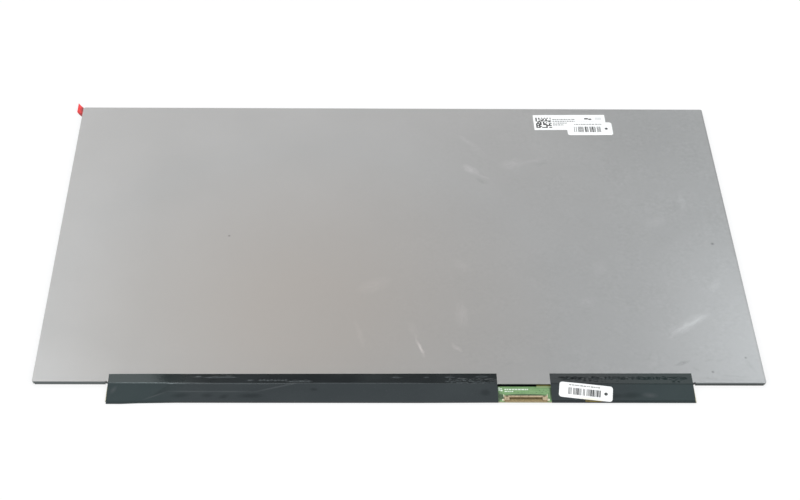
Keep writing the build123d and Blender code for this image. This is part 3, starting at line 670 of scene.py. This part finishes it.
def taut_height(y):
    """Ground of the left tape, which spans from the lip straight to the board's front edge."""
    return np.interp(y, [board_front, lip_edge], [board_top, back_z])


def ridge_height(x, y):
    """How far the tall parts of the board lift the left tape above that slope."""
    crest = board_top + ridge_rise - taut_height(crest_y)
    from_left = (x - ridge_left) / ridge_left_run + 1
    from_right = (ridge_right - x) / ridge_right_run + 1
    share = np.clip(np.minimum(from_left, from_right), 1e-6, 1)
    pivot = np.where(from_left < from_right, foot_y, lip_edge)
    return share * np.interp(pivot + (y - pivot) / share, [foot_y, crest_y, lip_edge], [0, crest, 0])


def soft_ground(x, y, ground):
    """The ground with its folds rounded over a short width, as a film bends over them."""
    steps = (-fold_soft, 0, fold_soft)
    return sum(ground(x + a, y + b) for a in steps for b in steps) / len(steps) ** 2


def swell(x, y, bubbles):
    """Height of the trapped air: each bubble is a middle, half a length, half a width, a turn and a rise."""
    height = np.zeros_like(x)
    for middle_x, middle_y, half_length, half_width, turn, rise in bubbles:
        along = (x - middle_x * mm) * math.cos(turn) + (y - middle_y * mm) * math.sin(turn)
        across = (y - middle_y * mm) * math.cos(turn) - (x - middle_x * mm) * math.sin(turn)
        spread = (along / (half_length * mm)) ** 2 + (across / (half_width * mm)) ** 2
        height += rise * mm * np.exp(-spread)
    return height


def scattered(seed, x_low, x_high, y_low, y_high, count, sizes, rise):
    """Small bubbles strewn over a stretch of a tape's lap."""
    source = random.Random(seed)
    made = []
    for _ in range(count):
        half = source.uniform(*sizes)
        made.append((
            source.uniform(x_low, x_high), source.uniform(y_low, y_high),
            half * source.uniform(1.0, 2.6), half, source.uniform(-0.4, 0.4), rise * source.uniform(0.4, 1.0),
        ))
    return made


def over_board(columns, rear, ground, air):
    """Both faces of a film from its rear edge over the lip and the slope to the board's front edge."""
    lap = np.linspace(0, 1, round((tape_high.y - lip_edge) / tape_cell_y), endpoint=False)
    slope = np.linspace(lip_edge, board_front, round((lip_edge - board_front) / tape_cell_y))
    slope = np.union1d(slope, [foot_y])[::-1]
    lap_y = rear[:, None] + (lip_edge - rear[:, None]) * lap
    y = np.concatenate([lap_y, np.repeat(slope[None, :], columns.size, axis=0)], axis=1)
    x = np.repeat(columns[:, None], y.shape[1], axis=1)
    top = np.minimum(soft_ground(x, y, ground) + tape_thickness + air(x, y), model_top)
    inner = np.stack([x, y, ground(x, y)], axis=-1)
    outer = np.stack([x, y, top], axis=-1)
    outer[:, -1, 1] -= corner_share * tape_thickness
    outer[:, -1, 2] = board_top + corner_share * tape_thickness
    return inner, outer


def under_board(columns, hang):
    """Both faces of a film that goes down the board's front edge and back under it, with its slack."""
    sag, reach = hang(columns)
    end = board_bottom - sag
    edge = board_front - reach
    inner = []
    outer = []
    for share in edge_steps:
        z = board_top + (end - board_top) * share
        out = reach * (1 - (1 - share) ** edge_round)
        inner.append((columns, board_front - out, z))
        outer.append((columns, board_front - out - tape_thickness, z))
    inner.append((columns, edge, end))
    outer.append((columns, edge - corner_share * tape_thickness, end - corner_share * tape_thickness))
    for share in return_steps:
        y = edge + (tape_return + reach) * share
        inner.append((columns, y, end))
        outer.append((columns, y, end - tape_thickness))
    as_grid = [np.stack([np.stack(np.broadcast_arrays(*row), axis=-1) for row in face], axis=1)
               for face in (inner, outer)]
    return as_grid


def make_tape(name, node, ground, rear_edge, hang, bubbles, flat_spot=None):
    """A film laid over its ground and round the board's edge, with trapped air, in place of a solid."""
    low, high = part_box(node)
    columns = np.linspace(low.x, high.x, round((high.x - low.x) / tape_cell_x) + 1)
    rear = rear_edge(columns)

    def air(x, y):
        to_side = np.minimum(x - low.x, high.x - x)
        to_end = np.minimum(rear[:, None] - y, y - board_front)
        height = swell(x, y, bubbles) * np.clip(np.minimum(to_side, to_end) / edge_fade, 0, 1)
        return height if flat_spot is None else height * flat_spot(x, y)

    over = over_board(columns, rear, ground, air)
    under = under_board(columns, hang)
    inner, outer = [np.concatenate([a, b], axis=1)[:, ::-1] for a, b in zip(over, under)]
    made = piece(name, closed_sheet(name, inner, outer), finishes["black_tape"])
    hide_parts(node)


# Rear edges of the tapes, which lie a little askew: places along them and how far each is from the lip
left_rear_x = np.array([-139.0, -117.0, -104.0, -47.0, 0.0, 46.0]) * mm
left_rear_reach = np.array([5.82, 6.00, 5.93, 6.15, 6.37, 6.58]) * mm
right_rear_x = np.array([72.0, 102.0, 139.0]) * mm
right_rear_reach = np.array([6.70, 6.78, 6.90]) * mm

# Slack of the left tape along the board's front edge: places, how far it sags and how far its hem stands off
hang_x = np.array([-139.0, -132.0, -124.0, -106.0, 8.0, 43.0]) * mm
hang_sag = np.array([0.36, 0.36, 0.36, 0.34, 0.32, 0.0]) * mm
hang_reach = np.array([0.9, 0.9, 0.48, 0.12, 0.0, 0.0]) * mm


def left_rear_edge(x):
    return lip_edge + np.interp(x, left_rear_x, left_rear_reach)


def right_rear_edge(x):
    return lip_edge + np.interp(x, right_rear_x, right_rear_reach)


def left_hang(x):
    return np.interp(x, hang_x, hang_sag), np.interp(x, hang_x, hang_reach)


def right_hang(x):
    return np.zeros_like(x), np.zeros_like(x)


# Trapped air under the tapes: middle, half a length, half a width, turn in radians and rise
left_bubbles = [
    (-88.0, -99.6, 3.4, 0.45, 0.02, 0.060),
    (-81.5, -99.4, 2.8, 0.45, -0.03, 0.060),
    (-96.0, -99.0, 1.2, 0.50, 0.2, 0.045),
    (-71.5, -101.3, 1.2, 0.5, 0.1, 0.045),
    (-1.6, -99.3, 1.6, 0.45, 0.0, 0.055),
    (12.9, -99.3, 0.9, 0.45, 0.1, 0.050),
    (24.0, -99.2, 2.4, 0.50, 0.0, 0.055),
    (39.0, -98.9, 3.4, 0.50, 0.02, 0.050),
    (-50.0, -101.9, 3.2, 0.55, 0.05, 0.055),
    (-44.6, -101.8, 1.8, 0.55, 0.0, 0.055),
    (-105.5, -110.6, 3.0, 0.9, 0.05, 0.030),
    (-92.0, -110.6, 2.4, 0.9, 0.0, 0.030),
    (-84.0, -111.0, 2.4, 0.9, 0.2, 0.030),
    (-71.0, -110.5, 6.5, 1.0, 0.0, 0.030),
    (-41.0, -107.0, 2.0, 1.0, 0.0, 0.050),
    (-10.5, -107.0, 1.6, 0.9, 0.0, 0.050),
    (10.5, -107.0, 1.6, 0.9, 0.0, 0.050),
    (38.5, -108.6, 2.2, 1.2, 0.1, 0.070),
]
chain_count = 8
chain_start = -66.5
chain_step = 1.75
left_bubbles += [
    (chain_start + chain_step * step, -101.4 + 0.2 * (step % 2), 0.55, 0.5, 0.0, 0.055)
    for step in range(chain_count)
]
left_bubbles += scattered(11, 22.5, 45, -102.6, -100.6, 36, (0.35, 0.65), 0.085)
right_bubbles = scattered(16, 73.0, 138.4, -100.3, -99.5, 48, (0.38, 0.50), 0.060)
right_bubbles += scattered(14, 75, 100, -101.6, -99.0, 14, (0.35, 0.6), 0.026)
right_bubbles += scattered(15, 126, 138, -100.6, -99.6, 8, (0.35, 0.5), 0.030)
right_bubbles += [
    (88.8, -101.3, 1.3, 0.45, -0.5, 0.024),
    (104.0, -101.4, 1.1, 0.45, 0.1, 0.024),
    (130.6, -102.2, 0.9, 0.5, 0.0, 0.030),
    (133.0, -102.2, 0.6, 0.5, 0.0, 0.030),
]


def clear_of_label(x, y):
    """Nought under the askew label and one away from it."""
    low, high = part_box("barcode_label_lower")
    outside_x = np.maximum(low.x - x, x - high.x)
    outside_y = np.maximum(low.y - y, y - high.y)
    return np.clip(np.maximum(outside_x, outside_y) / edge_fade, 0, 1)


def make_tapes():
    make_tape(
        "tape_left", "cover_tape_left", lambda x, y: taut_height(y) + ridge_height(x, y),
        left_rear_edge, left_hang, left_bubbles)
    make_tape(
        "tape_right", "cover_tape_right", lambda x, y: slope_height(y),
        right_rear_edge, right_hang, right_bubbles, clear_of_label)


# Print on the labels and the board
ink_thickness = 0.004 * mm
ink_sink = 0.002 * mm
far_label_turn = 0.6
lower_label_turn = -7.3
dash_lengths = (0.5, 1.5)
dash_gaps = (0.2, 0.4)
bar_widths = (0.32, 0.32, 0.5, 0.8)
bar_gaps = (0.22, 0.22, 0.30, 0.8)
dot_radius = 0.85

# Large label, in its own axes: the block of cells, dark and faint marks by two corners,
# and rows of print by left, right and low
code_corner = (-19.0, -4.7)
code_cells = 11
code_cell = 0.80
code_fill = 0.50
code_border_fill = 0.70
dark_marks = [(8.6, 2.5, 10.7, 3.7), (10.9, 2.1, 12.6, 3.2)]
faint_mark = (14.6, 2.0, 18.2, 4.2)
print_rows = [(-9.5, 3.5, 2.2), (-9.5, 3.0, 0.6), (-9.5, -1.5, -1.0), (-9.5, -3.5, -2.6)]
print_height = 0.8
faint_row = (3.2, 14.0, 0.6)
faint_height = 0.5

# Barcode labels, in their own axes: left, right, low and high of the bars and of the row above,
# the dot's middle, and the cuts that let the lower bars follow a fold
upper_bars = (-8.75, 6.7, -2.87, 1.83)
upper_row = (-8.4, 7.0, 3.5, 4.2)
upper_dot = (9.3, 0.0)
lower_bars = (-8.3, 7.0, -2.4, 1.4)
lower_row = (-8.1, 6.6, 2.6, 3.2)
lower_dot = (9.55, -0.2)
lower_cuts = 6


def spot_on(node, turn, surface):
    """A way from a label's own axes to the model's, at a lift above the label's face."""
    low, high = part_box(node)
    middle = (low + high) / 2
    turned = Matrix.Rotation(math.radians(turn), 2)

    def spot(across, along, lift):
        place = turned @ Vector((across * mm, along * mm)) + middle.xy
        return Vector((place.x, place.y, surface(place.y) + lift))
    return spot


def ink_patch(form, spot, left, low, right, high, cuts=1):
    """One closed film of ink between two corners; cuts let it follow a fold."""
    rings = []
    for step in range(cuts + 1):
        along = low + (high - low) * step / cuts
        corners = ((left, -ink_sink), (right, -ink_sink), (right, ink_thickness), (left, ink_thickness))
        rings.append([form.verts.new(spot(across, along, lift)) for across, lift in corners])
    for first, second in zip(rings, rings[1:]):
        for corner in range(4):
            after = (corner + 1) % 4
            form.faces.new((first[corner], first[after], second[after], second[corner]))
    form.faces.new(rings[0])
    form.faces.new(rings[-1])


def text_row(form, spot, source, left, right, low, height, cuts=1):
    """A row of short dashes in place of small print."""
    across = left
    while across < right:
        width = min(source.uniform(*dash_lengths), right - across)
        ink_patch(form, spot, across, low, across + width, low + height, cuts)
        across += width + source.uniform(*dash_gaps)


def disc(form, spot, across, along, radius, corners=20):
    """A round dot of ink."""
    rim = []
    for lift in (-ink_sink, ink_thickness):
        rim.append([
            form.verts.new(spot(
                across + radius * math.cos(math.tau * step / corners),
                along + radius * math.sin(math.tau * step / corners), lift))
            for step in range(corners)
        ])
    for step in range(corners):
        after = (step + 1) % corners
        form.faces.new((rim[0][step], rim[0][after], rim[1][after], rim[1][step]))
    form.faces.new(rim[0])
    form.faces.new(rim[1])


def barcode_print(name, spot, seed, bars, row, dot, cuts=1):
    """Bars of uneven width, a row of small print above them and a plain dot."""
    source = random.Random(seed)
    form = bmesh.new()
    left, right, low, high = bars
    across = left
    while across < right:
        width = source.choice(bar_widths)
        ink_patch(form, spot, across, low, min(across + width, right), high, cuts)
        across += width + source.choice(bar_gaps)
    disc(form, spot, *dot, dot_radius)
    piece(name + "_bars", mesh_of(name + "_bars", form), ink)
    form = bmesh.new()
    left, right, low, high = row
    text_row(form, spot, source, left, right, low, high - low)
    piece(name + "_print", mesh_of(name + "_print", form), pale_ink)


def code_block(form, spot, source):
    """A made-up square of dark and light cells with a broken border."""
    left, low = code_corner
    last = code_cells - 1
    for column in range(code_cells):
        for row in range(code_cells):
            border = (column == 0 or row == 0) and source.random() < code_border_fill
            dotted = (column == last and row % 2 == 0) or (row == last and column % 2 == 0)
            inner = 0 < column < last and 0 < row < last and source.random() < code_fill
            if border or dotted or inner:
                x = left + column * code_cell
                y = low + row * code_cell
                ink_patch(form, spot, x, y, x + code_cell, y + code_cell)


def product_print():
    """The large label: a block of cells, rows of small print and two plain marks."""
    source = random.Random(21)
    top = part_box("product_label")[1].z
    spot = spot_on("product_label", far_label_turn, lambda y: top)
    form = bmesh.new()
    code_block(form, spot, source)
    for corners in dark_marks:
        ink_patch(form, spot, *corners)
    piece("product_code", mesh_of("product_code", form), ink)
    form = bmesh.new()
    for row in print_rows:
        text_row(form, spot, source, *row, print_height)
    piece("product_print", mesh_of("product_print", form), pale_ink)
    form = bmesh.new()
    text_row(form, spot, source, *faint_row, faint_height)
    ink_patch(form, spot, *faint_mark)
    piece("product_faint_print", mesh_of("product_faint_print", form), faint_ink)


def thin_label():
    """The topmost label, thinner by its print, so that the print ends at the model's top."""
    node = "barcode_label_upper"
    mesh = frame["nodes"][node].data.copy()
    mesh.materials.clear()
    for point in mesh.vertices:
        if point.co.z > model_top - ink_thickness:
            point.co.z = model_top - ink_thickness
    made = piece("upper_label_paper", mesh, finishes["label"])
    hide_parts(node)


def label_prints():
    product_print()
    thin_label()
    top = model_top - ink_thickness
    flat = spot_on("barcode_label_upper", far_label_turn, lambda y: top)
    barcode_print("upper_label", flat, 31, upper_bars, upper_row, upper_dot)
    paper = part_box("barcode_label_upper")[1].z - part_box("product_label")[1].z
    lift = tape_thickness + paper
    askew = spot_on("barcode_label_lower", lower_label_turn, lambda y: float(slope_height(y)) + lift)
    barcode_print("lower_label", askew, 32, lower_bars, lower_row, lower_dot, lower_cuts)


# Vias on the bare part of the board
via_places = [
    (66.4, -106.8), (67.5, -107.6), (68.3, -106.5), (69.4, -107.2), (70.4, -106.4),
    (70.6, -108.4), (70.2, -109.6), (47.6, -109.0), (48.3, -108.3), (47.4, -110.6),
    (64.8, -107.9), (56.2, -107.8), (58.0, -108.2), (70.9, -111.0),
]
via_radius = 0.22
via_corners = 10

# White marks on the board by two corners, and rows of small print by left, right, low and height
board_marks = [
    (46.9, -106.9, 47.5, -104.8),
    (47.7, -107.1, 48.8, -106.3),
    (47.7, -105.9, 48.6, -105.3),
]
board_rows = [
    (49.7, 61.0, -106.4, 0.75),
    (49.7, 53.8, -107.6, 0.6),
]

# Solder at the socket: middle, length along X, width along Y and height
solder_heaps = [
    (48.8, -112.55, 1.3, 1.2, 0.34),
    (70.1, -112.45, 1.5, 1.5, 0.38),
    (49.15, -110.1, 0.5, 2.2, 0.5),
    (69.85, -110.0, 0.5, 2.4, 0.5),
]
dome_floor = -0.01
solder_sharp_angle = 40

# The bit of amber film: its ends, its rear edge at each end, its front edge, thickness and cells
scrap_x = (87.6, 95.2)
scrap_rear_y = (-112.7, -113.3)
scrap_front_y = -113.7
scrap_thickness = 0.02 * mm
scrap_columns = 13
scrap_rows = 9


def board_print():
    """White bars in place of the board's small print, and its vias."""
    source = random.Random(41)

    def spot(x, y, lift):
        return Vector((x * mm, y * mm, board_top + lift))

    form = bmesh.new()
    for corners in board_marks:
        ink_patch(form, spot, *corners)
    for row in board_rows:
        text_row(form, spot, source, *row)
    piece("board_print", mesh_of("board_print", form), white_print)
    form = bmesh.new()
    for x, y in via_places:
        disc(form, spot, x, y, via_radius, via_corners)
    piece("board_vias", mesh_of("board_vias", form), via_rim)


def solder_dome(form, x, y, length, width, height):
    """A rounded heap of solder on the board."""
    place = Matrix.Translation((x * mm, y * mm, board_top)) @ Matrix.Diagonal((
        length / 2 * mm, width / 2 * mm, height * mm, 1))
    made = bmesh.ops.create_uvsphere(form, u_segments=20, v_segments=12, radius=1.0)
    lower = [point for point in made["verts"] if point.co.z < dome_floor]
    for point in made["verts"]:
        point.co = place @ point.co
    bmesh.ops.delete(form, geom=lower, context="VERTS")
    bmesh.ops.holes_fill(form, edges=[edge for edge in form.edges if edge.is_boundary], sides=0)


def make_solder():
    """Solder at the feet of the socket's shell and along its ends."""
    form = bmesh.new()
    for heap in solder_heaps:
        solder_dome(form, *heap)
    piece("socket_solder", mesh_of("socket_solder", form, solder_sharp_angle), solder)


def make_scrap():
    """A bit of amber film on the tape's front edge, below the askew label."""
    columns = np.linspace(scrap_x[0], scrap_x[1], scrap_columns) * mm
    rear = np.interp(columns, np.array(scrap_x) * mm, np.array(scrap_rear_y) * mm)
    front = scrap_front_y * mm
    share = np.linspace(0, 1, scrap_rows)
    y = front + (rear[:, None] - front) * share
    x = np.repeat(columns[:, None], share.size, axis=1)
    ground = slope_height(y) + tape_thickness
    inner = np.stack([x, y, ground - ink_sink], axis=-1)
    outer = np.stack([x, y, ground + scrap_thickness], axis=-1)
    piece("amber_scrap", closed_sheet("amber_scrap", inner, outer), amber_scrap)


# Studio
camera_place = Vector((-22.66, -612.14, 587.27)) * mm
camera_pitch = math.radians(44.2835)
camera_yaw = math.radians(0.7635)
camera_roll = math.radians(0.6911)
image_width = 800
focal_pixels = 1621.72
axis_column = 368.27
sensor_width = 36.0


def make_camera():
    """The photograph's viewpoint; its frame lies a little to one side of the lens axis."""
    ahead = Vector((
        math.sin(camera_yaw) * math.cos(camera_pitch),
        math.cos(camera_yaw) * math.cos(camera_pitch),
        -math.sin(camera_pitch),
    ))
    level = Vector((math.cos(camera_yaw), -math.sin(camera_yaw), 0))
    upward = level.cross(ahead)
    right = math.cos(camera_roll) * level + math.sin(camera_roll) * upward
    up = math.cos(camera_roll) * upward - math.sin(camera_roll) * level
    lens = bpy.data.cameras.new("camera")
    lens.sensor_width = sensor_width
    lens.lens = sensor_width * focal_pixels / image_width
    lens.shift_x = (image_width / 2 - axis_column) / image_width
    camera = bpy.data.objects.new("camera", lens)
    turn = Matrix((right, up, -ahead)).transposed().to_4x4()
    camera.matrix_world = Matrix.Translation(camera_place) @ turn
    bpy.context.scene.collection.objects.link(camera)
    bpy.context.scene.camera = camera


def softbox(name, place, width, height, radiance, tint):
    """A lamp with an even face, as bright as its radiance says, turned towards the origin."""
    lamp = bpy.data.lights.new(name, "AREA")
    lamp.shape = "RECTANGLE"
    lamp.size = width
    lamp.size_y = height
    lamp.energy = radiance * math.pi * width * height
    lamp.color = tint
    holder = bpy.data.objects.new(name, lamp)
    holder.location = place
    holder.rotation_euler = (-Vector(place)).to_track_quat("-Z", "Y").to_euler()
    bpy.context.scene.collection.objects.link(holder)


# The room's brightness from the horizon up: height as the sine of the elevation, and colour
room_bands = [
    (0.616, (0.980, 0.980, 0.980)),
    (0.682, (0.225, 0.225, 0.225)),
    (0.799, (0.225, 0.225, 0.225)),
    (0.848, (0.960, 1.035, 1.080)),
    (0.978, (0.960, 1.035, 1.080)),
    (0.992, (0.450, 0.470, 0.490)),
]

# Lamps that face the panel: place, width, height, radiance and tint
lamps = {
    "left_softbox": ((-0.62, 1.30, 1.56), 0.47, 0.42, 1.60, (1.0, 0.99, 0.98)),
    "far_left_softbox": ((-1.20, 0.90, 1.40), 0.70, 0.90, 1.70, (1.0, 0.99, 0.98)),
    "left_wedge": ((-0.33, 1.30, 1.71), 0.06, 0.10, 1.60, (1.0, 0.99, 0.98)),
    "upper_panel": ((-0.25, 1.30, 1.86), 0.75, 0.21, 0.60, (0.96, 1.0, 1.03)),
    "fold_strip": ((-0.05, 1.30, 1.93), 0.70, 0.07, 2.00, (0.96, 1.0, 1.03)),
    "left_fold_strip": ((-0.43, 1.30, 1.93), 0.12, 0.07, 8.00, (0.92, 1.0, 1.0)),
    "right_panel": ((0.46, 1.30, 1.61), 0.32, 0.22, 0.97, (1.0, 1.0, 1.0)),
    "right_softbox": ((0.95, 1.00, 1.50), 0.50, 0.70, 1.77, (0.96, 0.99, 1.03)),
    "far_right_softbox": ((1.30, 0.70, 1.60), 0.80, 0.80, 0.90, (0.96, 0.99, 1.03)),
    "rear_strip": ((-0.10, 1.60, 1.25), 0.60, 0.20, 1.27, (1.0, 0.99, 0.99)),
    "front_left_softbox": ((-1.50, -0.90, 1.40), 1.20, 1.00, 3.20, (1.0, 1.0, 1.0)),
    "front_right_softbox": ((1.50, -0.90, 1.40), 1.20, 1.00, 3.20, (1.0, 1.0, 1.0)),
}


def make_world():
    """Pale walls round the horizon, a darker band above them and a pale ceiling."""
    world = bpy.data.worlds.new("studio")
    bpy.context.scene.world = world
    world.use_nodes = True
    tree = world.node_tree
    direction = tree.nodes.new("ShaderNodeTexCoord").outputs["Generated"]
    split = tree.nodes.new("ShaderNodeSeparateXYZ")
    tree.links.new(direction, split.inputs[0])
    walls = tree.nodes.new("ShaderNodeValToRGB")
    stops = walls.color_ramp.elements
    while len(stops) < len(room_bands):
        stops.new(1.0)
    for stop, (height, tint) in zip(stops, room_bands):
        stop.position = height
        stop.color = colour(*tint)
    tree.links.new(split.outputs["Z"], walls.inputs["Fac"])
    tree.links.new(walls.outputs["Color"], tree.nodes["Background"].inputs["Color"])


floor_drop = 0.02 * mm
floor_half = 6.0
floor_white_share = 0.8


def make_floor():
    """A white floor that keeps a soft shadow and can be looked through from below."""
    form = bmesh.new()
    bmesh.ops.create_grid(form, x_segments=1, y_segments=1, size=floor_half)
    mesh = bpy.data.meshes.new("floor")
    form.to_mesh(mesh)
    form.free()
    floor = bpy.data.objects.new("floor", mesh)
    floor.location.z = -floor_drop
    bpy.context.scene.collection.objects.link(floor)
    finish = Finish("floor_white", {"Roughness": 0.9, "Specular IOR Level": 0.0})
    cloud = finish.noise(0.4, 2.0)
    finish.feed("Base Color", finish.mix(cloud, grey(0.90), grey(0.92)))
    rays = finish.node("LightPath")
    seen = finish.math("MAXIMUM", rays.outputs["Is Camera Ray"], rays.outputs["Is Glossy Ray"])
    seen = finish.math("MAXIMUM", seen, rays.outputs["Is Transmission Ray"])
    white = finish.node("Emission", {"Color": grey(1.0), "Strength": 1.0})
    share = finish.math("MULTIPLY", seen, floor_white_share)
    lit = finish.node("MixShader", {0: share, 1: finish.shader.outputs[0], 2: white.outputs[0]})
    below = finish.node("NewGeometry").outputs["Backfacing"]
    clear = finish.node("BsdfTransparent")
    both = finish.node("MixShader", {0: below, 1: lit.outputs[0], 2: clear.outputs[0]})
    finish.tree.links.new(both.outputs[0], finish.tree.nodes["Material Output"].inputs["Surface"])
    mesh.materials.append(finish.material)


def make_studio():
    make_world()
    make_floor()
    make_camera()
    for name, lamp in lamps.items():
        softbox(name, *lamp)
    bpy.context.scene.view_settings.view_transform = "Standard"


dress_solids()
make_tapes()
label_prints()
board_print()
make_solder()
make_scrap()
make_studio()
